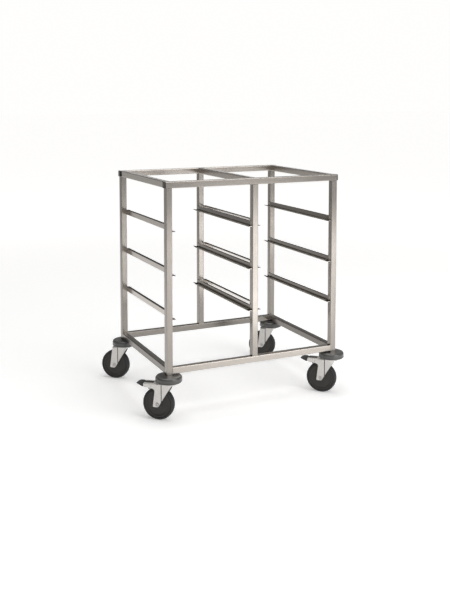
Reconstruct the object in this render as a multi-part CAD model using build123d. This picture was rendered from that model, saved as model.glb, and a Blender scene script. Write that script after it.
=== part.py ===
"""Two-bay shelf trolley: square-tube frame, tray runners, bumper discs and swivel castors.

Millimetres. +X is to the right seen from the front, +Y to the rear and +Z up.
The origin is on the floor, under the middle of the frame.
"""
import math
import os

from build123d import *

# Frame of square tube
FRAME_WIDTH = 750.0
FRAME_DEPTH = 560.0
FRAME_TOP = 915.0
TUBE = 25.0
TUBE_WALL = 1.5
TUBE_EDGE_RADIUS = 2.5
BOTTOM_RAIL_UNDERSIDE = 180.0
POST_FOOT = 175.0

# Plastic caps in the open ends of the front and rear top rails
CAP_THICKNESS = 4.5
CAP_EDGE_RADIUS = 1.8
CAP_PLUG_LENGTH = 14.0
CAP_PLUG_PLAY = 0.2
CAP_PLUG_EDGE_RADIUS = 1.0

# Folded tray runners between the posts, with flange ends that pass beside the posts
RUNNER_FLANGE = 15.5
RUNNER_HEIGHT = 22.0
RUNNER_LIP = 9.0
RUNNER_SHEET = 1.5
RUNNER_BEND_RADIUS = 2.0
RUNNER_FRONT_END = 276.0
RUNNER_CORNER_CUT = 4.0
TONGUE_END = 298.0
TONGUE_TIP_START = 6.0
TONGUE_TIP_END = 9.0
LOWEST_RUNNER = 388.0
RUNNER_PITCH = 168.0

# Round bumper discs under the corner posts
BUMPER_RADIUS = 51.5
BUMPER_UNDERSIDE = 150.0
BUMPER_TOP_ROUND = 9.0
BUMPER_BOTTOM_ROUND = 6.0
BUMPER_GROOVE_HEIGHT = 6.5
BUMPER_GROOVE_RADIUS = 1.0

# Swivel bearing between bumper and fork
KING_BOLT_RADIUS = 6.0
KING_BOLT_TOP = 211.0
KING_HEAD_FLATS = 19.0
KING_HEAD_HEIGHT = 7.5
KING_WASHER_RADIUS = 13.0
KING_WASHER_THICKNESS = 1.6
PLUG_HEIGHT = 40.0
PLUG_PLAY = 0.1
PLUG_EDGE_RADIUS = 0.8
CUP_RADIUS = 32.0
CUP_THICKNESS = 4.0
CUP_SKIRT_THICKNESS = 2.4
CUP_SKIRT_DEPTH = 2.0
BALL_RADIUS = 3.0
BALL_COUNT = 12
BALL_CIRCLE_RADIUS = 22.0
BALL_HEIGHT = 144.5
CUP_GROOVE_PLAY = 0.2
CROWN_GROOVE_PLAY = 0.3
LOOSE_HOLE_PLAY = 0.2
RUNNING_PLAY = 0.05

# Castor wheel
WHEEL_RADIUS = 62.5
WHEEL_TRAIL = 40.5
TYRE_WIDTH = 28.0
TYRE_SEAT_RADIUS = 52.0
TYRE_SHOULDER = 8.0
TYRE_GROOVE_RADIUS = 54.6
TYRE_GROOVE_SIZE = 0.8
CORE_PLAY = 0.1
RIM_WIDTH = 26.0
RIM_DEPTH = 6.5
WEB_WIDTH = 20.0
HUB_RADIUS = 17.0
HUB_WIDTH = 34.8
CORE_FILLET = 2.5
BEARING_RADIUS = 9.0
AXLE_RADIUS = 4.0
AXLE_HEAD_RADIUS = 7.5
AXLE_HEAD_HEIGHT = 3.0
AXLE_HEAD_ROUND = 1.5
AXLE_RECESS_RADIUS = 2.6
AXLE_RECESS_DEPTH = 2.0
AXLE_NUT_FLATS = 13.0
AXLE_NUT_HEIGHT = 6.5
AXLE_THREAD_END = 1.5

# Pressed castor fork, in side view: u runs towards the trailing side, z up
FORK_HALF_WIDTH = 21.0
FORK_SHEET = 3.0
FORK_TOP = 143.0
FORK_NOSE = -17.0
FORK_NOSE_BACK = 3.0
FORK_CROWN_RADIUS = 28.0
FORK_TOP_END = 47.5
FORK_FOOT = 51.0
FORK_FOOT_BACK = 59.3
FORK_FOOT_FRONT = 36.5
FORK_FRONT_SLOPE = 1.65
FORK_BACK_ROUND = 4.0
FORK_FRONT_ROUND = 9.0
FORK_EDGE_ROUND = 2.5
FORK_HOLE_PLAY = 0.1
CREASE_RADIUS = 1.2
CREASE_U = 23.0
DIMPLE_RADIUS = 2.6
DIMPLE_DEPTH = 1.2
DIMPLE_U = 49.0
DIMPLE_Z = 72.5

# Arms of the braked fork, which carry the pedal
ARM_START = 50.0
ARM_END = 98.0
ARM_END_TOP = 141.5
ARM_END_UNDERSIDE = 127.0
ARM_UNDERSIDE = 120.5
ARM_INNER_ROUND = 10.0
ARM_END_ROUND = 3.0
SLOT_START = 59.5
SLOT_HALF_WIDTH = 11.0

# Brake pedal and shoe
PEDAL_PIVOT_U = 66.0
PEDAL_PIVOT_Z = 132.0
PEDAL_TRAVEL = 8.0
PIN_RADIUS = 3.0
PEDAL_PIN_PLAY = 0.08
LEVER_HALF_WIDTH = 9.7
LEVER_START = 61.0
LEVER_END = 106.0
LEVER_UNDERSIDE = 126.0
LEVER_TOP = 142.0
PAD_HALF_WIDTH = 14.0
PAD_ROUND = 1.5
PAD_START = 101.0
PAD_START_UNDERSIDE = 124.5
PAD_TOP = 143.0
PAD_TOP_END = 116.0
PAD_TIP = 128.0
PAD_TIP_TOP = 139.0
PAD_TIP_UNDERSIDE = 136.0
SHOE_START = 69.0
SHOE_END = 80.0
SHOE_HALF_WIDTH = 9.0
SHOE_LOW = 104.0
SHOE_GAP_WHEN_LOCKED = 0.5

# Helpers for cutting and picking, longer or smaller than anything on the castor
CUT_LENGTH = 300.0
CUT_MARGIN = 1.0
SAME_PLACE = 0.01

# Places worked out from the sizes above
POST_X = FRAME_WIDTH / 2 - TUBE / 2
POST_Y = FRAME_DEPTH / 2 - TUBE / 2
TOP_RAIL_UNDERSIDE = FRAME_TOP - TUBE
BOTTOM_RAIL_TOP = BOTTOM_RAIL_UNDERSIDE + TUBE
BETWEEN_SIDES_X = FRAME_WIDTH - 2 * TUBE
BETWEEN_SIDES_Y = FRAME_DEPTH - 2 * TUBE
AXLE_HEIGHT = WHEEL_RADIUS
CORNERS = {
    "front_left": (-POST_X, -POST_Y),
    "front_right": (POST_X, -POST_Y),
    "rear_left": (-POST_X, POST_Y),
    "rear_right": (POST_X, POST_Y),
}
CASTOR_TURNS = {"front_left": 48.0, "front_right": 45.0, "rear_left": 50.0, "rear_right": 56.0}
BRAKED = ("front_left", "front_right")
LEVELS = ("bottom", "middle", "top")

nodes = {}


def square_tube(length):
    """Hollow square tube that stands on the ground plane."""
    bore = TUBE - 2 * TUBE_WALL
    outside = RectangleRounded(TUBE, TUBE, TUBE_EDGE_RADIUS)
    inside = RectangleRounded(bore, bore, TUBE_EDGE_RADIUS - TUBE_WALL)
    return extrude(outside - inside, length)


def rail_along_x(length, y, underside):
    return Pos(-length / 2, y, underside + TUBE / 2) * Rot(0, 90, 0) * square_tube(length)


def rail_along_y(length, x, underside):
    return Pos(x, -length / 2, underside + TUBE / 2) * Rot(-90, 0, 0) * square_tube(length)


def make_posts():
    for side_name, y in (("front", -POST_Y), ("rear", POST_Y)):
        for place, x in (("left", -POST_X), ("middle", 0.0), ("right", POST_X)):
            foot = BOTTOM_RAIL_TOP if place == "middle" else POST_FOOT
            tube = square_tube(TOP_RAIL_UNDERSIDE - foot)
            nodes[f"post_{side_name}_{place}"] = Pos(x, y, foot) * tube


def make_rails():
    for side_name, y in (("front", -POST_Y), ("rear", POST_Y)):
        nodes[f"top_rail_{side_name}"] = rail_along_x(FRAME_WIDTH, y, TOP_RAIL_UNDERSIDE)
        nodes[f"bottom_rail_{side_name}"] = rail_along_x(BETWEEN_SIDES_X, y, BOTTOM_RAIL_UNDERSIDE)
    for place, x in (("left", -POST_X), ("middle", 0.0), ("right", POST_X)):
        nodes[f"top_rail_{place}"] = rail_along_y(BETWEEN_SIDES_Y, x, TOP_RAIL_UNDERSIDE)
    for place, x in (("left", -POST_X), ("right", POST_X)):
        nodes[f"bottom_rail_{place}"] = rail_along_y(BETWEEN_SIDES_Y, x, BOTTOM_RAIL_UNDERSIDE)


def runner_section():
    """Folded section: web behind x = 0, tray flange at its foot and lip at its top into the bay."""
    outline = Polyline(
        (-RUNNER_SHEET, 0),
        (RUNNER_FLANGE, 0),
        (RUNNER_FLANGE, RUNNER_SHEET),
        (0, RUNNER_SHEET),
        (0, RUNNER_HEIGHT - RUNNER_SHEET),
        (RUNNER_LIP, RUNNER_HEIGHT - RUNNER_SHEET),
        (RUNNER_LIP, RUNNER_HEIGHT),
        (-RUNNER_SHEET, RUNNER_HEIGHT),
        close=True,
    )
    section = make_face(outline)
    bends = section.vertices().group_by(Axis.X)[0]
    return fillet(bends, RUNNER_BEND_RADIUS)


def runner():
    """Folded runner between two posts: its flange ends in a tab in front and a tongue behind."""
    post_face = BETWEEN_SIDES_Y / 2
    body = extrude(Plane.XZ * runner_section(), post_face, both=True)
    front_tab = make_face(
        Polyline(
            (0, -post_face),
            (0, -RUNNER_FRONT_END),
            (RUNNER_FLANGE - RUNNER_CORNER_CUT, -RUNNER_FRONT_END),
            (RUNNER_FLANGE, -RUNNER_FRONT_END + RUNNER_CORNER_CUT),
            (RUNNER_FLANGE, -post_face),
            close=True,
        )
    )
    rear_tongue = make_face(
        Polyline(
            (0, post_face),
            (RUNNER_FLANGE, post_face),
            (TONGUE_TIP_END, TONGUE_END),
            (TONGUE_TIP_START, TONGUE_END),
            (0, FRAME_DEPTH / 2),
            close=True,
        )
    )
    return body + extrude(front_tab, RUNNER_SHEET) + extrude(rear_tongue, RUNNER_SHEET)


def make_runners():
    towards_right = runner()
    towards_left = mirror(towards_right, Plane.YZ)
    outer_x = FRAME_WIDTH / 2 - TUBE
    inner_x = TUBE / 2
    places = {
        "left_bay_outer": (-outer_x, towards_right),
        "left_bay_inner": (-inner_x, towards_left),
        "right_bay_inner": (inner_x, towards_right),
        "right_bay_outer": (outer_x, towards_left),
    }
    for row, level in enumerate(LEVELS):
        z = LOWEST_RUNNER + row * RUNNER_PITCH
        for place, (x, shape) in places.items():
            nodes[f"runner_{place}_{level}"] = Pos(x, 0, z) * shape


def end_cap():
    """Cap for a tube end that points along +Z, with its head above the ground plane."""
    head = extrude(RectangleRounded(TUBE, TUBE, TUBE_EDGE_RADIUS), CAP_THICKNESS)
    head = fillet(head.faces().sort_by(Axis.Z)[-1].edges(), CAP_EDGE_RADIUS)
    plug_side = TUBE - 2 * TUBE_WALL - 2 * CAP_PLUG_PLAY
    plug_shape = RectangleRounded(plug_side, plug_side, CAP_PLUG_EDGE_RADIUS)
    plug = extrude(plug_shape, -CAP_PLUG_LENGTH)
    return head + plug


def make_end_caps():
    cap = end_cap()
    z = TOP_RAIL_UNDERSIDE + TUBE / 2
    caps = []
    for y in (-POST_Y, POST_Y):
        caps.append(Pos(FRAME_WIDTH / 2, y, z) * Rot(0, 90, 0) * cap)
        caps.append(Pos(-FRAME_WIDTH / 2, y, z) * Rot(0, -90, 0) * cap)
    nodes["end_caps"] = group(caps)


def group(pieces):
    """One node of several separate solids."""
    return Compound(children=[piece.solid() for piece in pieces])


def ring(outer, inner, height, underside):
    """Flat ring about the Z axis."""
    return Pos(0, 0, underside) * extrude(Circle(outer) - Circle(inner), height)


def hexagon(flats, height, underside):
    """Hexagonal prism about the Z axis."""
    return Pos(0, 0, underside) * extrude(RegularPolygon(flats / 2, 6, major_radius=False), height)


def bumper():
    """Rubber disc with rounded edges and a moulding groove near its lower edge."""
    hole = KING_BOLT_RADIUS + LOOSE_HOLE_PLAY
    thickness = POST_FOOT - BUMPER_UNDERSIDE
    width = BUMPER_RADIUS - hole
    section = Pos(hole + width / 2, BUMPER_UNDERSIDE + thickness / 2) * Rectangle(width, thickness)
    rim = section.vertices().group_by(Axis.X)[-1].sort_by(Axis.Y)
    section = fillet(rim[1], BUMPER_TOP_ROUND)
    rim = section.vertices().group_by(Axis.Y)[0].sort_by(Axis.X)
    section = fillet(rim[-1], BUMPER_BOTTOM_ROUND)
    groove = Pos(BUMPER_RADIUS, BUMPER_UNDERSIDE + BUMPER_GROOVE_HEIGHT) * Circle(BUMPER_GROOVE_RADIUS)
    return revolve(Plane.XZ * (section - groove), Axis.Z)


def swivel_cup():
    """Fixed upper ball race with a dust skirt, under the bumper."""
    hole = KING_BOLT_RADIUS + LOOSE_HOLE_PLAY
    underside = BUMPER_UNDERSIDE - CUP_THICKNESS
    plate = ring(CUP_RADIUS, hole, CUP_THICKNESS, underside)
    skirt_inner = CUP_RADIUS - CUP_SKIRT_THICKNESS
    skirt = ring(CUP_RADIUS, skirt_inner, CUP_SKIRT_DEPTH, underside - CUP_SKIRT_DEPTH)
    groove = Pos(0, 0, BALL_HEIGHT) * Torus(BALL_CIRCLE_RADIUS, BALL_RADIUS + CUP_GROOVE_PLAY)
    return plate + skirt - groove


def swivel_balls():
    ball = Sphere(BALL_RADIUS)
    step = 360.0 / BALL_COUNT
    return [
        Rot(0, 0, number * step) * Pos(BALL_CIRCLE_RADIUS, 0, BALL_HEIGHT) * ball
        for number in range(BALL_COUNT)
    ]


def king_bolt():
    """Bolt that holds the castor: its head is under the fork, its thread in the post's plug."""
    head_top = FORK_TOP - FORK_SHEET - 2 * LOOSE_HOLE_PLAY - KING_WASHER_THICKNESS
    head = hexagon(KING_HEAD_FLATS, KING_HEAD_HEIGHT, head_top - KING_HEAD_HEIGHT)
    shank = Pos(0, 0, head_top) * extrude(Circle(KING_BOLT_RADIUS), KING_BOLT_TOP - head_top)
    washer_hole = KING_BOLT_RADIUS + LOOSE_HOLE_PLAY
    washer = ring(KING_WASHER_RADIUS, washer_hole, KING_WASHER_THICKNESS, head_top)
    return [head + shank, washer]


def stem_plug():
    """Threaded plug that fills the foot of a corner post."""
    side = TUBE - 2 * TUBE_WALL - 2 * PLUG_PLAY
    block = extrude(RectangleRounded(side, side, PLUG_EDGE_RADIUS), PLUG_HEIGHT)
    bore = extrude(Circle(KING_BOLT_RADIUS + RUNNING_PLAY), PLUG_HEIGHT)
    return Pos(0, 0, POST_FOOT) * (block - bore)


def make_corner_hardware():
    disc = bumper()
    sets = {"swivel_cups": [], "swivel_balls": [], "king_bolt_sets": [], "stem_plugs": []}
    for corner, (x, y) in CORNERS.items():
        place = Pos(x, y, 0)
        nodes[f"bumper_{corner}"] = place * disc
        sets["swivel_cups"].append(place * swivel_cup())
        sets["swivel_balls"] += [place * ball for ball in swivel_balls()]
        sets["king_bolt_sets"] += [place * piece for piece in king_bolt()]
        sets["stem_plugs"].append(place * stem_plug())
    for name, pieces in sets.items():
        nodes[name] = group(pieces)


def top_height(u, braked):
    """Height of the fork's top: level over the swivel, sloping along the arms of a braked fork."""
    if not braked:
        return FORK_TOP
    fall = (FORK_TOP - ARM_END_TOP) / (ARM_END - ARM_START)
    return FORK_TOP - fall * max(u - ARM_START, 0)


def fork_outline(braked):
    """Side view of the fork: x of the sketch is the trailing direction, y is up."""
    beyond_nose = FORK_NOSE - CUT_MARGIN
    front_low = FORK_FOOT + FORK_FRONT_SLOPE * (FORK_FOOT_FRONT - beyond_nose)
    back_slope = (FORK_FOOT_BACK - FORK_TOP_END) / (FORK_TOP - FORK_FOOT)
    if braked:
        leg_back_at_arm = FORK_TOP_END + back_slope * (FORK_TOP - ARM_UNDERSIDE)
        back = [
            (ARM_START, FORK_TOP),
            (ARM_END, ARM_END_TOP),
            (ARM_END, ARM_END_UNDERSIDE),
            (leg_back_at_arm, ARM_UNDERSIDE),
        ]
    else:
        back = [(FORK_TOP_END, FORK_TOP)]
    foot = [(FORK_FOOT_BACK, FORK_FOOT), (FORK_FOOT_FRONT, FORK_FOOT)]
    outline = make_face(
        Polyline((beyond_nose, front_low), (beyond_nose, FORK_TOP), *back, *foot, close=True)
    )
    outline = fillet(outline.vertices().group_by(Axis.Y)[0].sort_by(Axis.X)[0], FORK_FRONT_ROUND)
    outline = fillet(outline.vertices().group_by(Axis.Y)[0].sort_by(Axis.X)[-1], FORK_BACK_ROUND)
    if braked:
        arm_end = outline.vertices().group_by(Axis.X)[-1]
        outline = fillet(arm_end, ARM_END_ROUND)
        near_corner = Vector(leg_back_at_arm, ARM_UNDERSIDE, 0)
        inner_corner = outline.vertices().sort_by_distance(near_corner)[0]
        outline = fillet(inner_corner, ARM_INNER_ROUND)
    return outline


def fork_plan(inset):
    """Plan view of the fork: straight sides with a long rounded nose."""
    half = FORK_HALF_WIDTH - inset
    nose = Pos(0, FORK_NOSE_BACK) * Ellipse(half, FORK_NOSE_BACK - FORK_NOSE - inset)
    sides = Pos(0, FORK_NOSE_BACK + ARM_END / 2) * Rectangle(2 * half, ARM_END)
    return nose + sides


def fork(braked):
    """Pressed sheet fork: crown over the wheel, rounded nose and a leg on each side."""
    skin = extrude(Plane.YZ * fork_outline(braked), FORK_HALF_WIDTH, both=True)
    skin = skin & extrude(fork_plan(0), FORK_TOP)
    top_edges = []
    for edge in skin.edges().filter_by(GeomType.LINE):
        middle = edge.center()
        on_side = abs(middle.X) > FORK_HALF_WIDTH - FORK_SHEET
        if on_side and middle.Z > top_height(middle.Y, braked) - FORK_SHEET:
            top_edges.append(edge)
    skin = fillet(top_edges, FORK_EDGE_ROUND)
    ceiling = make_face(
        Polyline(
            (-CUT_LENGTH, 0),
            (CUT_LENGTH, 0),
            (CUT_LENGTH, top_height(CUT_LENGTH, braked) - FORK_SHEET),
            (ARM_START, FORK_TOP - FORK_SHEET),
            (-CUT_LENGTH, FORK_TOP - FORK_SHEET),
            close=True,
        )
    )
    hollow = extrude(Plane.YZ * ceiling, FORK_HALF_WIDTH, both=True)
    hollow = hollow & extrude(fork_plan(FORK_SHEET), FORK_TOP)
    body = skin - hollow
    body += ring(FORK_CROWN_RADIUS, KING_BOLT_RADIUS, FORK_SHEET, FORK_TOP - FORK_SHEET)
    body -= Cylinder(KING_BOLT_RADIUS + RUNNING_PLAY, 2 * CUT_LENGTH)
    body -= Pos(0, 0, BALL_HEIGHT) * Torus(BALL_CIRCLE_RADIUS, BALL_RADIUS + CROWN_GROOVE_PLAY)
    body -= across(WHEEL_TRAIL, AXLE_HEIGHT, AXLE_RADIUS + FORK_HOLE_PLAY, CUT_LENGTH)
    for side in (-1, 1):
        dimple = across(DIMPLE_U, DIMPLE_Z, DIMPLE_RADIUS, 2 * DIMPLE_DEPTH)
        body -= Pos(side * FORK_HALF_WIDTH, 0, 0) * dimple
        body -= Pos(side * FORK_HALF_WIDTH, CREASE_U, 0) * Cylinder(CREASE_RADIUS, CUT_LENGTH)
    if braked:
        length = ARM_END - SLOT_START + 2 * ARM_END_ROUND
        slot = Box(2 * SLOT_HALF_WIDTH, length, FORK_TOP - LEVER_UNDERSIDE)
        middle = (FORK_TOP + LEVER_UNDERSIDE) / 2
        body -= Pos(0, SLOT_START + length / 2, middle) * slot
        body -= across(PEDAL_PIVOT_U, PEDAL_PIVOT_Z, PIN_RADIUS + FORK_HOLE_PLAY, CUT_LENGTH)
    return body


def across(u, z, radius, length):
    """Cylinder along the axle direction, centred on the castor's middle plane."""
    return Pos(0, u, z) * Rot(0, 90, 0) * Cylinder(radius, length)


def axle_pieces():
    """Axle bolt with a low round head, and its nut on the other leg."""
    length = 2 * FORK_HALF_WIDTH + AXLE_NUT_HEIGHT + AXLE_THREAD_END
    shank = extrude(Circle(AXLE_RADIUS), length)
    head = extrude(Circle(AXLE_HEAD_RADIUS), -AXLE_HEAD_HEIGHT)
    head = fillet(head.faces().sort_by(Axis.Z)[0].edges(), AXLE_HEAD_ROUND)
    recess = Pos(0, 0, -AXLE_HEAD_HEIGHT) * extrude(Circle(AXLE_RECESS_RADIUS), AXLE_RECESS_DEPTH)
    bolt = shank + head - recess
    nut = hexagon(AXLE_NUT_FLATS, AXLE_NUT_HEIGHT, 2 * FORK_HALF_WIDTH)
    nut -= extrude(Circle(AXLE_RADIUS + RUNNING_PLAY), length)
    place = Pos(-FORK_HALF_WIDTH, WHEEL_TRAIL, AXLE_HEIGHT) * Rot(0, 90, 0)
    return [place * bolt, place * nut]


def brake_pin():
    """Pin through both arms and flush with them, on which the pedal turns."""
    return across(PEDAL_PIVOT_U, PEDAL_PIVOT_Z, PIN_RADIUS, 2 * FORK_HALF_WIDTH)


def about_axle(section):
    """Solid of revolution: x of the section is along the axle, y is the radius."""
    return Pos(0, WHEEL_TRAIL, AXLE_HEIGHT) * revolve(section, Axis.X)


def tyre():
    depth = WHEEL_RADIUS - TYRE_SEAT_RADIUS
    section = Pos(0, TYRE_SEAT_RADIUS + depth / 2) * Rectangle(TYRE_WIDTH, depth)
    section = fillet(section.vertices().group_by(Axis.Y)[-1], TYRE_SHOULDER)
    for side in (-1, 1):
        section -= Pos(side * TYRE_WIDTH / 2, TYRE_GROOVE_RADIUS) * Circle(TYRE_GROOVE_SIZE)
    return about_axle(section)


def wheel_core():
    """Plastic wheel centre: rim, closed web and hub."""
    rim_top = TYRE_SEAT_RADIUS - CORE_PLAY
    bore = BEARING_RADIUS + RUNNING_PLAY
    rim = Pos(0, rim_top - RIM_DEPTH / 2) * Rectangle(RIM_WIDTH, RIM_DEPTH)
    web = Pos(0, (rim_top + bore) / 2) * Rectangle(WEB_WIDTH, rim_top - bore)
    hub = Pos(0, (HUB_RADIUS + bore) / 2) * Rectangle(HUB_WIDTH, HUB_RADIUS - bore)
    section = rim + web + hub
    hollows = [
        corner
        for corner in section.vertices()
        if abs(abs(corner.X) - WEB_WIDTH / 2) < SAME_PLACE and bore < corner.Y < rim_top
    ]
    return about_axle(fillet(hollows, CORE_FILLET))


def wheel_bearing():
    inner = AXLE_RADIUS + RUNNING_PLAY
    depth = BEARING_RADIUS - inner
    return about_axle(Pos(0, inner + depth / 2) * Rectangle(HUB_WIDTH, depth))


def brake_pedal():
    """Rocking lever in the fork's slot, with a wedge-shaped foot pad behind the arms."""
    lever = make_face(
        Polyline(
            (LEVER_START, LEVER_UNDERSIDE),
            (LEVER_START, LEVER_TOP),
            (LEVER_END, LEVER_TOP),
            (LEVER_END, LEVER_UNDERSIDE),
            close=True,
        )
    )
    foot_pad = make_face(
        Polyline(
            (PAD_START, PAD_TOP),
            (PAD_TOP_END, PAD_TOP),
            (PAD_TIP, PAD_TIP_TOP),
            (PAD_TIP, PAD_TIP_UNDERSIDE),
            (PAD_START, PAD_START_UNDERSIDE),
            close=True,
        )
    )
    pad = extrude(Plane.YZ * foot_pad, PAD_HALF_WIDTH, both=True)
    pad = fillet(pad.edges().filter_by(Axis.X), PAD_ROUND)
    body = extrude(Plane.YZ * lever, LEVER_HALF_WIDTH, both=True) + pad
    hole = across(PEDAL_PIVOT_U, PEDAL_PIVOT_Z, PIN_RADIUS + PEDAL_PIN_PLAY, CUT_LENGTH)
    return body - hole


def brake_shoe():
    """Shoe under the lever: its curved face lies along the tyre once the pedal is down."""
    height = LEVER_UNDERSIDE - SHOE_LOW
    length = SHOE_END - SHOE_START
    block = Pos(0, SHOE_START + length / 2, SHOE_LOW + height / 2) * Box(
        2 * SHOE_HALF_WIDTH, length, height
    )
    turn = math.radians(PEDAL_TRAVEL)
    du = WHEEL_TRAIL - PEDAL_PIVOT_U
    dz = AXLE_HEIGHT - PEDAL_PIVOT_Z
    u = PEDAL_PIVOT_U + du * math.cos(turn) - dz * math.sin(turn)
    z = PEDAL_PIVOT_Z + du * math.sin(turn) + dz * math.cos(turn)
    return block - across(u, z, WHEEL_RADIUS + SHOE_GAP_WHEN_LOCKED, CUT_LENGTH)


def make_castors():
    for corner, (x, y) in CORNERS.items():
        place = Pos(x, y, 0) * Rot(0, 0, CASTOR_TURNS[corner])
        braked = corner in BRAKED
        fasteners = axle_pieces()
        if braked:
            fasteners.append(brake_pin())
            nodes[f"brake_pedal_{corner}"] = place * brake_pedal()
            nodes[f"brake_shoe_{corner}"] = place * brake_shoe()
        nodes[f"fork_{corner}"] = place * fork(braked)
        nodes[f"castor_fasteners_{corner}"] = group([place * piece for piece in fasteners])
        nodes[f"tyre_{corner}"] = place * tyre()
        nodes[f"wheel_core_{corner}"] = place * wheel_core()
        nodes[f"wheel_bearing_{corner}"] = place * wheel_bearing()


make_posts()
make_rails()
make_runners()
make_end_caps()
make_corner_hardware()
make_castors()

os.makedirs("parts", exist_ok=True)
for name, shape in nodes.items():
    export_step(shape, f"parts/{name}.step")
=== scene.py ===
import math
from typing import NamedTuple

import bpy
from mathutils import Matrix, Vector

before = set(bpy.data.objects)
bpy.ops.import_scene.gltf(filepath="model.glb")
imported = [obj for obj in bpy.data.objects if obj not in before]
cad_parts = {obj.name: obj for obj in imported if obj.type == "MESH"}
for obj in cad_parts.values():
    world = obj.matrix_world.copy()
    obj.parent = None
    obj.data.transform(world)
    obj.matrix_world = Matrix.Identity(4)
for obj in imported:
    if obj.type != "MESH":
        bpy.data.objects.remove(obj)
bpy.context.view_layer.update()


class Lamp(NamedTuple):
    """An area lamp: where it stands, what it points at, its size, and its power in watts."""

    place: tuple
    aim: tuple
    width: float
    height: float
    watts: float


class Steel(NamedTuple):
    """A steel's colour and roughness. As a layer on another steel, its roughness is added to the other's."""

    color: tuple
    rough: float


class Moulding(NamedTuple):
    """A rubber or plastic: its colour and roughness, and the noise scale and depth of its moulded grain."""

    color: tuple
    rough: float
    grain_scale: float
    grain_depth: float


# Lengths are in metres and angles in degrees, unless a name says otherwise. Colours are linear.

# Camera. The photograph's upright lines are parallel, so most of its view down comes from a lens shift.
# A small tilt takes the rest, which keeps the shift small enough for the whole object to show in other views.
CAMERA_PLACE = (-1.5036, -3.2143, 1.2261)
CAMERA_YAW = -25.051
CAMERA_TILT = 4.31
FOCAL_PIXELS = 846.7
IMAGE_HEIGHT_PIXELS = 600.0
SENSOR_MM = 36.0
LENS_SHIFT = -0.23
YAW_RADIANS = math.radians(CAMERA_YAW)
VIEW_RIGHT = (math.cos(YAW_RADIANS), math.sin(YAW_RADIANS), 0.0)
VIEW_FORWARD = (-math.sin(YAW_RADIANS), math.cos(YAW_RADIANS), 0.0)

# Floor. Its glow grows with the distance from the object, which evens out the fall of the lamps' light.
FLOOR_HALF = 60.0
FLOOR_COLOR = (0.9, 0.9, 0.9)
FLOOR_ROUGH = 0.9
FLOOR_SPECULAR = 0.1
WHITE = (1.0, 0.995, 0.985)
GLOW_DISTANCES = (0.6, 5.0)
GLOW_STRENGTHS = (0.33, 0.86)
# The glow is full inside a fan that opens from the photograph's viewpoint, and falls off on both sides of it.
# The fan is fixed on the floor and stays there when the camera moves.
SIDE_GLOW = 0.4
FAN_SLOPE = 0.27
SIDE_SPAN = (0.1, 1.3)
SIDE_WIDENS_FROM = 4.0

# World. Its colour goes by the sine of a direction's elevation: a white wall, a dark band, a grey ceiling.
WALL_TOP = 0.118
DARK_BAND = (0.127, 0.225)
CEILING_START = 0.275
DARK = (0.07, 0.068, 0.066)
CEILING = (0.34, 0.335, 0.33)
# Its strength goes by the cosine of a direction's angle to the middle of the floor's fan.
HORIZON_GREY = 0.77
HORIZON_WHITE = 0.955

LAMPS = {
    "overhead": Lamp(place=(0.0, -0.2, 3.4), aim=(0.0, 0.0, 0.0), width=3.0, height=3.0, watts=80.0),
    "front": Lamp(place=(1.6, -3.2, 2.4), aim=(0.0, 0.0, 0.4), width=2.4, height=2.4, watts=60.0),
    "low_front": Lamp(place=(1.15, -2.4, 0.15), aim=(0.1, -0.2, 0.4), width=1.3, height=0.5, watts=3.6),
    "near_front": Lamp(place=(0.6, -1.4, 0.1), aim=(0.0, -0.2, 0.3), width=0.7, height=0.22, watts=1.0),
    "far_front": Lamp(place=(1.6, -3.5, 0.3), aim=(0.0, 0.0, 0.6), width=1.0, height=0.6, watts=2.0),
}

# Steels
TUBE_STEEL = Steel((0.325, 0.30, 0.274), 0.22)
SHEET_STEEL = Steel((0.54, 0.50, 0.46), 0.17)
CASTOR_STEEL = Steel((0.57, 0.55, 0.53), 0.27)
FASTENER_STEEL = Steel((0.45, 0.44, 0.43), 0.3)
# Layers on the runners' sheet: painted shade on the side that looks into the bay and on the lip's top,
# painted light on the flange's top (which is also rougher) and in the channel between the middle runners
BAY_SIDE_PAINTED_SHADE = Steel((0.18, 0.166, 0.152), -0.04)
FLANGE_PAINTED_LIGHT = Steel((0.80, 0.76, 0.70), 0.4)
LIP_TOP_PAINTED_SHADE = Steel((0.10, 0.093, 0.086), -0.07)
CHANNEL_PAINTED_LIGHT = Steel((0.9, 0.88, 0.86), -0.05)
# Layers on the forks: painted shade inside the fork and along a line down each leg,
# painted light on faces that look up
FORK_INSIDE_PAINTED_SHADE = Steel((0.045, 0.043, 0.041), 0.1)
FORK_LINE_PAINTED_SHADE = Steel((0.06, 0.058, 0.055), 0.2)
FORK_TOP_PAINTED_LIGHT = Steel((0.88, 0.86, 0.83), 0.25)
# Painted light and shade: how light the tube steel of the rear posts and of each rail is beside the front
# posts'
REAR_POST_PAINTED_SHADE = 0.86
RAIL_PAINTED_LIGHT_AND_SHADE = {
    "top_rail_front": 1.0,
    "top_rail_rear": 1.3,
    "top_rail_left": 1.55,
    "top_rail_middle": 1.6,
    "top_rail_right": 1.6,
    "bottom_rail_front": 1.42,
    "bottom_rail_rear": 0.8,
    "bottom_rail_left": 0.75,
    "bottom_rail_right": 0.7,
}

# Rubbers and plastics
BUMPER_RUBBER = Moulding((0.075, 0.074, 0.071), 0.4, 1900.0, 0.0002)
TYRE_RUBBER = Moulding((0.012, 0.012, 0.012), 0.6, 1500.0, 0.0002)
# A painted highlight: the lighter ring on the tyre's shoulder
TYRE_RING_PAINTED_HIGHLIGHT = (0.060, 0.060, 0.058)
WHEEL_PLASTIC = Moulding((0.036, 0.032, 0.028), 0.5, 2200.0, 0.00015)
PEDAL_PLASTIC = Moulding((0.046, 0.046, 0.045), 0.5, 2200.0, 0.00015)
CAP_PLASTIC = Moulding((0.030, 0.027, 0.025), 0.3, 2600.0, 0.0001)
PLUG_PLASTIC = Moulding((0.05, 0.05, 0.05), 0.6, 2600.0, 0.0001)
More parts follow.
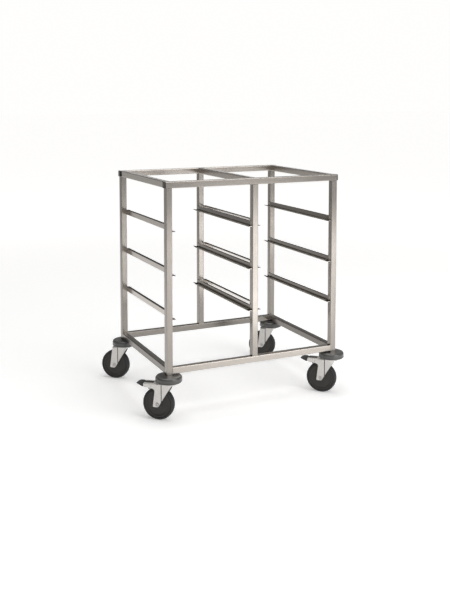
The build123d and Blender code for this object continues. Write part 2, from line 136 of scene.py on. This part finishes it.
# Clear coat on the bumpers
COAT_WEIGHT = 0.65
COAT_ROUGH = 0.2

# Noise: its roughness, and the middle part of its values, which is spread over a whole span
NOISE_ROUGHNESS = 0.6
NOISE_MIDDLE = (0.3, 0.7)
# Grain and smudges of the steels: noise scales and details, and how far tone, roughness and surface vary
GRAIN_ACROSS = 1100.0
GRAIN_ALONG = 9.0
GRAIN_DETAIL = 3.0
SMUDGE_SCALE = 14.0
SMUDGE_DETAIL = 2.0
STEEL_SHADES = (0.94, 1.06)
GRAIN_ROUGH = 0.045
SMUDGE_ROUGH = 0.03
STEEL_BUMP = 0.045
STEEL_DEPTH = 0.0002
# Uneven tone and grain of the rubbers and plastics, likewise
CLOUD_SCALE = 22.0
CLOUD_DETAIL = 3.0
MOULDED_DETAIL = 4.0
MOULDED_SHADES = (0.85, 1.18)
CLOUD_ROUGH = 0.07
MOULDED_BUMP = 0.25

# Runners, for the painted light and shade that follow their shape. CHANNEL_HALF ends inside the sheet of the
# two middle runners, and RUNNER_FOOT is just below the lowest runner. FLANGE_SHARE is the part of a step up
# that holds the flange, and FLANGE_HALF is half the flange's length between the posts.
CHANNEL_HALF = 0.0117
RUNNER_FOOT = 0.387
RUNNER_PITCH = 0.168
FLANGE_SHARE = 0.03
FLANGE_HALF = 0.255
# Castors, likewise: the swivel axes and turns, the axle, the middle of the fork's sheet, the line of painted
# shade down the fork's legs, the fork's nose, and the ring of painted highlight on the tyre's shoulder
CORNER_X = 0.3625
CORNER_Y = 0.2675
CASTOR_TURNS = {"front_left": 48.0, "front_right": 45.0, "rear_left": 50.0, "rear_right": 56.0}
AXLE_BACK = 0.0405
AXLE_HEIGHT = 0.0625
FORK_MIDDLE = 0.0194
LEG_LINE_BACK = 0.0236
LEG_LINE_HALF = 0.0014
NOSE_START = 0.003
NOSE_LENGTH = 0.0184
RING_RADIUS = 0.0575
RING_HALF = 0.0022
# How far a face's normal has to reach up, or up and into the bay together, to count as facing that way
UPWARD = 0.7
BAYWARD = 0.3


class Nodes:
    """The node tree of a material or world, with short calls for adding and joining nodes."""

    def __init__(self, owner, shader="Principled BSDF"):
        owner.use_nodes = True
        self.owner = owner
        self.tree = owner.node_tree
        self.shader = self.tree.nodes[shader]

    def add(self, kind, **settings):
        node = self.tree.nodes.new(kind)
        for name, setting in settings.items():
            setattr(node, name, setting)
        return node

    def join(self, source, target):
        self.tree.links.new(source, target)

    def fix(self, name, value):
        """Sets one of the shader's inputs to a value that is the same all over the surface."""
        self.shader.inputs[name].default_value = value

    def feed(self, name, source):
        """Joins a source to one of the shader's inputs."""
        self.join(source, self.shader.inputs[name])

    def coordinates(self, kind):
        return self.add("ShaderNodeTexCoord").outputs[kind]

    def split(self, vector):
        """A vector's x, y and z."""
        parts = self.add("ShaderNodeSeparateXYZ")
        self.join(vector, parts.inputs["Vector"])
        return parts.outputs["X"], parts.outputs["Y"], parts.outputs["Z"]

    def dot(self, vector, direction):
        """How far a vector reaches along a direction."""
        node = self.add("ShaderNodeVectorMath", operation="DOT_PRODUCT")
        self.join(vector, node.inputs[0])
        node.inputs[1].default_value = direction
        return node.outputs["Value"]

    def math(self, operation, first, second=None, clamp=False):
        """A calculation with one or two values, each a number or another node's output."""
        node = self.add("ShaderNodeMath", operation=operation, use_clamp=clamp)
        for socket, value in zip(node.inputs, (first, second)):
            if isinstance(value, float):
                socket.default_value = value
            elif value is not None:
                self.join(value, socket)
        return node.outputs["Value"]

    def square(self, value):
        return self.math("POWER", value, 2.0)

    def span(self, value, source, target, **settings):
        """A value taken from the source span to the target span, and held at its ends."""
        node = self.add("ShaderNodeMapRange", **settings)
        for name, end in zip(("From Min", "From Max", "To Min", "To Max"), (*source, *target)):
            node.inputs[name].default_value = end
        self.join(value, node.inputs["Value"])
        return node.outputs["Result"]

    def noise(self, scale, detail):
        """Noise over the piece's own coordinates, with a scale for each axis."""
        mapping = self.add("ShaderNodeMapping")
        mapping.inputs["Scale"].default_value = scale
        self.join(self.coordinates("Object"), mapping.inputs["Vector"])
        noise = self.add("ShaderNodeTexNoise")
        noise.inputs["Scale"].default_value = 1.0
        noise.inputs["Detail"].default_value = detail
        noise.inputs["Roughness"].default_value = NOISE_ROUGHNESS
        self.join(mapping.outputs["Vector"], noise.inputs["Vector"])
        return noise.outputs["Fac"]

    def vary(self, value, middle, reach):
        """A number that a noise value takes up to reach below and above the middle."""
        return self.span(value, NOISE_MIDDLE, (middle - reach, middle + reach))

    def tones(self, value, color, shades):
        """A colour between two shades of one, by a noise value."""
        dark, light = shades
        mix = self.add("ShaderNodeMix", data_type="RGBA")
        mix.inputs["A"].default_value = opaque(shade(color, dark))
        mix.inputs["B"].default_value = opaque(shade(color, light))
        self.join(self.span(value, NOISE_MIDDLE, (0.0, 1.0)), mix.inputs["Factor"])
        return mix.outputs["Result"]

    def blend(self, share, first, second):
        """From the first colour to the second, by a share from 0 to 1."""
        mix = self.add("ShaderNodeMix", data_type="RGBA")
        self.join(share, mix.inputs["Factor"])
        self.join(first, mix.inputs["A"])
        self.join(second, mix.inputs["B"])
        return mix.outputs["Result"]

    def place(self):
        """The piece's own coordinates as x, y and z."""
        return self.split(self.coordinates("Object"))

    def castor_place(self, corner):
        """A place on a castor: across its fork, back from the swivel axis, and up."""
        end, side = corner.split("_")
        mapping = self.add("ShaderNodeMapping", vector_type="TEXTURE")
        mapping.inputs["Location"].default_value = (
            CORNER_X if side == "right" else -CORNER_X,
            CORNER_Y if end == "rear" else -CORNER_Y,
            0.0,
        )
        mapping.inputs["Rotation"].default_value = (0.0, 0.0, math.radians(CASTOR_TURNS[corner]))
        self.join(self.coordinates("Object"), mapping.inputs["Vector"])
        return self.split(mapping.outputs["Vector"])

    def bump(self, value, strength, depth):
        bump = self.add("ShaderNodeBump")
        bump.inputs["Strength"].default_value = strength
        bump.inputs["Distance"].default_value = depth
        self.join(value, bump.inputs["Height"])
        self.feed("Normal", bump.outputs["Normal"])


def shade(color, factor):
    return tuple(channel * factor for channel in color)


def opaque(color):
    return (*color, 1.0)


def toned(steel, factor):
    """The same steel, lighter or darker."""
    return Steel(shade(steel.color, factor), steel.rough)


def brushed_steel(name, steel, along, layers=()):
    """Ground steel: fine grain lines along one axis, with faint smudges.

    Each layer is a share function, 1 where the layer lies, and the steel that it brings.
    """
    nodes = Nodes(bpy.data.materials.new(name))
    grain = nodes.noise([GRAIN_ALONG if axis == along else GRAIN_ACROSS for axis in "xyz"], GRAIN_DETAIL)
    smudge = nodes.noise([SMUDGE_SCALE] * 3, SMUDGE_DETAIL)
    tone = nodes.tones(grain, steel.color, STEEL_SHADES)
    grain_rough = nodes.vary(grain, steel.rough, GRAIN_ROUGH)
    rough = nodes.math("ADD", grain_rough, nodes.vary(smudge, 0.0, SMUDGE_ROUGH))
    for share, layer in layers:
        part = share(nodes)
        tone = nodes.blend(part, tone, nodes.tones(grain, layer.color, STEEL_SHADES))
        rough = nodes.math("ADD", rough, nodes.math("MULTIPLY", part, layer.rough))
    nodes.feed("Base Color", tone)
    nodes.feed("Roughness", rough)
    nodes.fix("Metallic", 1.0)
    nodes.bump(grain, STEEL_BUMP, STEEL_DEPTH)
    return nodes.owner


def moulded(name, moulding, share=None, second_color=None):
    """Rubber or plastic with a fine moulded grain and slightly uneven tone.

    A share function, if given, is 1 where the second colour lies.
    """
    nodes = Nodes(bpy.data.materials.new(name))
    grain = nodes.noise([moulding.grain_scale] * 3, MOULDED_DETAIL)
    cloud = nodes.noise([CLOUD_SCALE] * 3, CLOUD_DETAIL)
    tone = nodes.tones(cloud, moulding.color, MOULDED_SHADES)
    if share:
        tone = nodes.blend(share(nodes), tone, nodes.tones(cloud, second_color, MOULDED_SHADES))
    nodes.feed("Base Color", tone)
    nodes.feed("Roughness", nodes.vary(cloud, moulding.rough, CLOUD_ROUGH))
    nodes.bump(grain, MOULDED_BUMP, moulding.grain_depth)
    return nodes.owner


def add_coat(material):
    """Lays a thin clear coat on a material."""
    shader = material.node_tree.nodes["Principled BSDF"]
    shader.inputs["Coat Weight"].default_value = COAT_WEIGHT
    shader.inputs["Coat Roughness"].default_value = COAT_ROUGH


def facing_up(nodes):
    """1 on faces that look upward."""
    return nodes.math("GREATER_THAN", nodes.split(nodes.coordinates("Normal"))[2], UPWARD)


def on_bay_side(direction):
    """A share function: 1 on the side of a runner's sheet that looks into the bay and up.

    The bay lies to the right of the runner for a direction of 1, and to the left for -1.
    """

    def share(nodes):
        reach = nodes.dot(nodes.coordinates("Normal"), (direction, 0.0, 1.0))
        return nodes.math("GREATER_THAN", reach, BAYWARD)

    return share


def in_channel(nodes):
    """1 on the faces of the middle runners that look at each other, and not up."""
    between = nodes.math("LESS_THAN", nodes.math("ABSOLUTE", nodes.place()[0]), CHANNEL_HALF)
    return nodes.math("SUBTRACT", between, facing_up(nodes), clamp=True)


def on_flange(nodes):
    """1 on top of the flange that the trays slide on, between the posts."""
    along, up = nodes.place()[1:]
    level = nodes.math("DIVIDE", nodes.math("SUBTRACT", up, RUNNER_FOOT), RUNNER_PITCH)
    low = nodes.math("LESS_THAN", nodes.math("FRACT", level), FLANGE_SHARE)
    between = nodes.math("LESS_THAN", nodes.math("ABSOLUTE", along), FLANGE_HALF)
    return nodes.math("MULTIPLY", facing_up(nodes), nodes.math("MULTIPLY", low, between))


def on_lip(nodes):
    """1 on top of the lip at the runner's upper edge, and of the flange's ends."""
    return nodes.math("SUBTRACT", facing_up(nodes), on_flange(nodes), clamp=True)


def on_painted_leg_line(corner):
    """A share function: 1 along the line of painted shade down each leg of the fork."""

    def share(nodes):
        across, back = nodes.castor_place(corner)[:2]
        off = nodes.math("ABSOLUTE", nodes.math("SUBTRACT", back, LEG_LINE_BACK))
        outside = nodes.math("GREATER_THAN", nodes.math("ABSOLUTE", across), FORK_MIDDLE)
        return nodes.math("MULTIPLY", nodes.math("LESS_THAN", off, LEG_LINE_HALF), outside)

    return share


def inside_fork(corner):
    """A share function: 1 on the faces inside the fork, 0 on its outside."""

    def share(nodes):
        across, back = nodes.castor_place(corner)[:2]
        forward = nodes.math("MAXIMUM", nodes.math("SUBTRACT", NOSE_START, back), 0.0)
        wide = nodes.square(nodes.math("DIVIDE", nodes.math("ABSOLUTE", across), FORK_MIDDLE))
        deep = nodes.square(nodes.math("DIVIDE", forward, NOSE_LENGTH))
        within = nodes.math("LESS_THAN", nodes.math("ADD", wide, deep), 1.0)
        return nodes.math("SUBTRACT", within, facing_up(nodes), clamp=True)

    return share


def on_highlight_ring(corner):
    """A share function: 1 along the ring of painted highlight on the tyre's shoulder, fading to 0 on both
    sides of it.
    """

    def share(nodes):
        back, up = nodes.castor_place(corner)[1:]
        level = nodes.square(nodes.math("SUBTRACT", back, AXLE_BACK))
        upright = nodes.square(nodes.math("SUBTRACT", up, AXLE_HEIGHT))
        radius = nodes.math("SQRT", nodes.math("ADD", level, upright))
        off = nodes.math("ABSOLUTE", nodes.math("SUBTRACT", radius, RING_RADIUS))
        return nodes.math("SUBTRACT", 1.0, nodes.math("DIVIDE", off, RING_HALF), clamp=True)

    return share


def wear(node_name, material):
    """Gives a CAD node its material."""
    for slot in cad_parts[node_name].material_slots:
        slot.material = material


def runner_steel(name, direction):
    """Folded sheet for the runners whose bay lies in one direction, as on_bay_side says."""
    # Painted shade on the bay side and the lip's top, painted light on the flange's top and in the channel
    layers = [
        (on_bay_side(direction), BAY_SIDE_PAINTED_SHADE),
        (on_flange, FLANGE_PAINTED_LIGHT),
        (on_lip, LIP_TOP_PAINTED_SHADE),
        (in_channel, CHANNEL_PAINTED_LIGHT),
    ]
    return brushed_steel(name, SHEET_STEEL, "y", layers)


def fork_steel(corner):
    """Pressed steel for the fork of one castor."""
    # Painted shade inside the fork and down each leg, painted light on faces that look up
    layers = [
        (inside_fork(corner), FORK_INSIDE_PAINTED_SHADE),
        (on_painted_leg_line(corner), FORK_LINE_PAINTED_SHADE),
        (facing_up, FORK_TOP_PAINTED_LIGHT),
    ]
    return brushed_steel(f"fork_steel_{corner}", CASTOR_STEEL, "z", layers)


def dress_frame():
    """Materials for the posts, runners and rails, and for the plastic in their ends."""
    front_post = brushed_steel("front_post_steel", TUBE_STEEL, "z")
    # The rear posts' darker steel is painted shade
    rear_post = brushed_steel("rear_post_steel", toned(TUBE_STEEL, REAR_POST_PAINTED_SHADE), "z")
    bay_to_the_right = runner_steel("folded_steel_bay_to_the_right", 1.0)
    bay_to_the_left = runner_steel("folded_steel_bay_to_the_left", -1.0)
    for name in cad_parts:
        if name.startswith("post_front"):
            wear(name, front_post)
        elif name.startswith("post_rear"):
            wear(name, rear_post)
        elif name.startswith("runner_"):
            to_the_right = "left_bay_outer" in name or "right_bay_inner" in name
            wear(name, bay_to_the_right if to_the_right else bay_to_the_left)
    # Each rail's steel is made lighter or darker beside the front posts': painted light and shade
    for name, tone in RAIL_PAINTED_LIGHT_AND_SHADE.items():
        along = "x" if name.endswith(("front", "rear")) else "y"
        wear(name, brushed_steel(f"{name}_steel", toned(TUBE_STEEL, tone), along))
    wear("end_caps", moulded("cap_plastic", CAP_PLASTIC))
    wear("stem_plugs", moulded("plug_plastic", PLUG_PLASTIC))


def dress_castors():
    """Materials for the bumpers and the castors."""
    cup = brushed_steel("cup_steel", CASTOR_STEEL, "z")
    fastener = brushed_steel("bright_steel", FASTENER_STEEL, "x")
    bumper = moulded("bumper_rubber", BUMPER_RUBBER)
    add_coat(bumper)
    core = moulded("wheel_plastic", WHEEL_PLASTIC)
    pedal = moulded("pedal_plastic", PEDAL_PLASTIC)
    starts = {
        "bumper_": bumper,
        "swivel_cups": cup,
        "swivel_balls": fastener,
        "king_bolt_sets": fastener,
        "castor_fasteners_": fastener,
        "wheel_core_": core,
        "wheel_bearing_": fastener,
        "brake_pedal_": pedal,
        "brake_shoe_": pedal,
    }
    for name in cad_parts:
        for start, material in starts.items():
            if name.startswith(start):
                wear(name, material)
    for corner in CASTOR_TURNS:
        wear(f"fork_{corner}", fork_steel(corner))
        # The tyres carry a ring of painted highlight on the shoulder
        wear(f"tyre_{corner}", moulded(f"tyre_rubber_{corner}", TYRE_RUBBER, on_highlight_ring(corner), TYRE_RING_PAINTED_HIGHLIGHT))


def along_floor(nodes, place, direction):
    """How far a place on the floor lies from the photograph's viewpoint, along a level direction."""
    viewpoint = Vector(direction).dot(Vector(CAMERA_PLACE))
    return nodes.math("SUBTRACT", nodes.dot(place, direction), viewpoint)


def side_falloff(nodes, place):
    """1 inside the floor's fan, falling to SIDE_GLOW on both sides, over a width that grows far away."""
    sideways = nodes.math("ABSOLUTE", along_floor(nodes, place, VIEW_RIGHT))
    ahead = along_floor(nodes, place, VIEW_FORWARD)
    beyond = nodes.math("SUBTRACT", sideways, nodes.math("MULTIPLY", ahead, FAN_SLOPE))
    widening = nodes.math("MAXIMUM", nodes.math("DIVIDE", ahead, SIDE_WIDENS_FROM), 1.0)
    beyond = nodes.math("DIVIDE", beyond, widening)
    return nodes.span(beyond, SIDE_SPAN, (1.0, SIDE_GLOW), interpolation_type="SMOOTHSTEP")


def floor_white():
    """White that glows where it is seen, straight or in a reflection, and takes the object's shadow."""
    nodes = Nodes(bpy.data.materials.new("floor_white"))
    nodes.fix("Base Color", opaque(FLOOR_COLOR))
    nodes.fix("Roughness", FLOOR_ROUGH)
    nodes.fix("Specular IOR Level", FLOOR_SPECULAR)
    nodes.fix("Emission Color", opaque(WHITE))
    place = nodes.coordinates("Object")
    distance = nodes.add("ShaderNodeVectorMath", operation="LENGTH")
    nodes.join(place, distance.inputs[0])
    glow = nodes.span(distance.outputs["Value"], GLOW_DISTANCES, GLOW_STRENGTHS)
    even = nodes.math("MULTIPLY", glow, side_falloff(nodes, place))
    rays = nodes.add("ShaderNodeLightPath").outputs
    seen = nodes.math("ADD", rays["Is Camera Ray"], rays["Is Glossy Ray"])
    seen = nodes.math("ADD", seen, rays["Is Transmission Ray"], clamp=True)
    nodes.feed("Emission Strength", nodes.math("MULTIPLY", even, seen))
    return nodes.owner


def make_floor():
    """A wide level plane under the object."""
    corners = [(sx * FLOOR_HALF, sy * FLOOR_HALF, 0.0) for sx, sy in ((-1, -1), (1, -1), (1, 1), (-1, 1))]
    mesh = bpy.data.meshes.new("floor")
    mesh.from_pydata(corners, [], [(0, 1, 2, 3)])
    floor = bpy.data.objects.new("floor", mesh)
    bpy.context.scene.collection.objects.link(floor)
    mesh.materials.append(floor_white())


def make_world():
    """White along the horizon behind the object, greyer to the sides, then a dark band and a grey ceiling."""
    world = bpy.data.worlds.new("studio")
    bpy.context.scene.world = world
    nodes = Nodes(world, "Background")
    direction = nodes.coordinates("Generated")
    ramp = nodes.add("ShaderNodeValToRGB")
    stops = ramp.color_ramp.elements
    stops[0].position = WALL_TOP
    stops[0].color = opaque(WHITE)
    stops[1].position = CEILING_START
    stops[1].color = opaque(CEILING)
    for position in DARK_BAND:
        stops.new(position).color = opaque(DARK)
    nodes.join(nodes.split(direction)[2], ramp.inputs["Fac"])
    nodes.feed("Color", ramp.outputs["Color"])
    ahead = nodes.dot(direction, VIEW_FORWARD)
    nodes.feed("Strength", nodes.span(ahead, (HORIZON_GREY, HORIZON_WHITE), (SIDE_GLOW, 1.0)))


def make_lamps():
    """Soft lamps above the object and in front of it."""
    for name, lamp in LAMPS.items():
        light = bpy.data.lights.new(name, "AREA")
        light.shape = "RECTANGLE"
        light.size = lamp.width
        light.size_y = lamp.height
        light.energy = lamp.watts
        holder = bpy.data.objects.new(name, light)
        holder.location = lamp.place
        holder.rotation_euler = (Vector(lamp.aim) - Vector(lamp.place)).to_track_quat("-Z", "Y").to_euler()
        bpy.context.scene.collection.objects.link(holder)


def make_camera():
    """A camera at the photograph's viewpoint."""
    data = bpy.data.cameras.new("camera")
    data.sensor_width = SENSOR_MM
    data.lens = FOCAL_PIXELS / IMAGE_HEIGHT_PIXELS * SENSOR_MM
    data.shift_y = LENS_SHIFT
    camera = bpy.data.objects.new("camera", data)
    camera.location = CAMERA_PLACE
    camera.rotation_euler = (math.radians(90.0 - CAMERA_TILT), 0.0, YAW_RADIANS)
    bpy.context.scene.collection.objects.link(camera)
    bpy.context.scene.camera = camera


dress_frame()
dress_castors()
make_floor()
make_world()
make_lamps()
make_camera()
bpy.context.scene.view_settings.view_transform = "Standard"
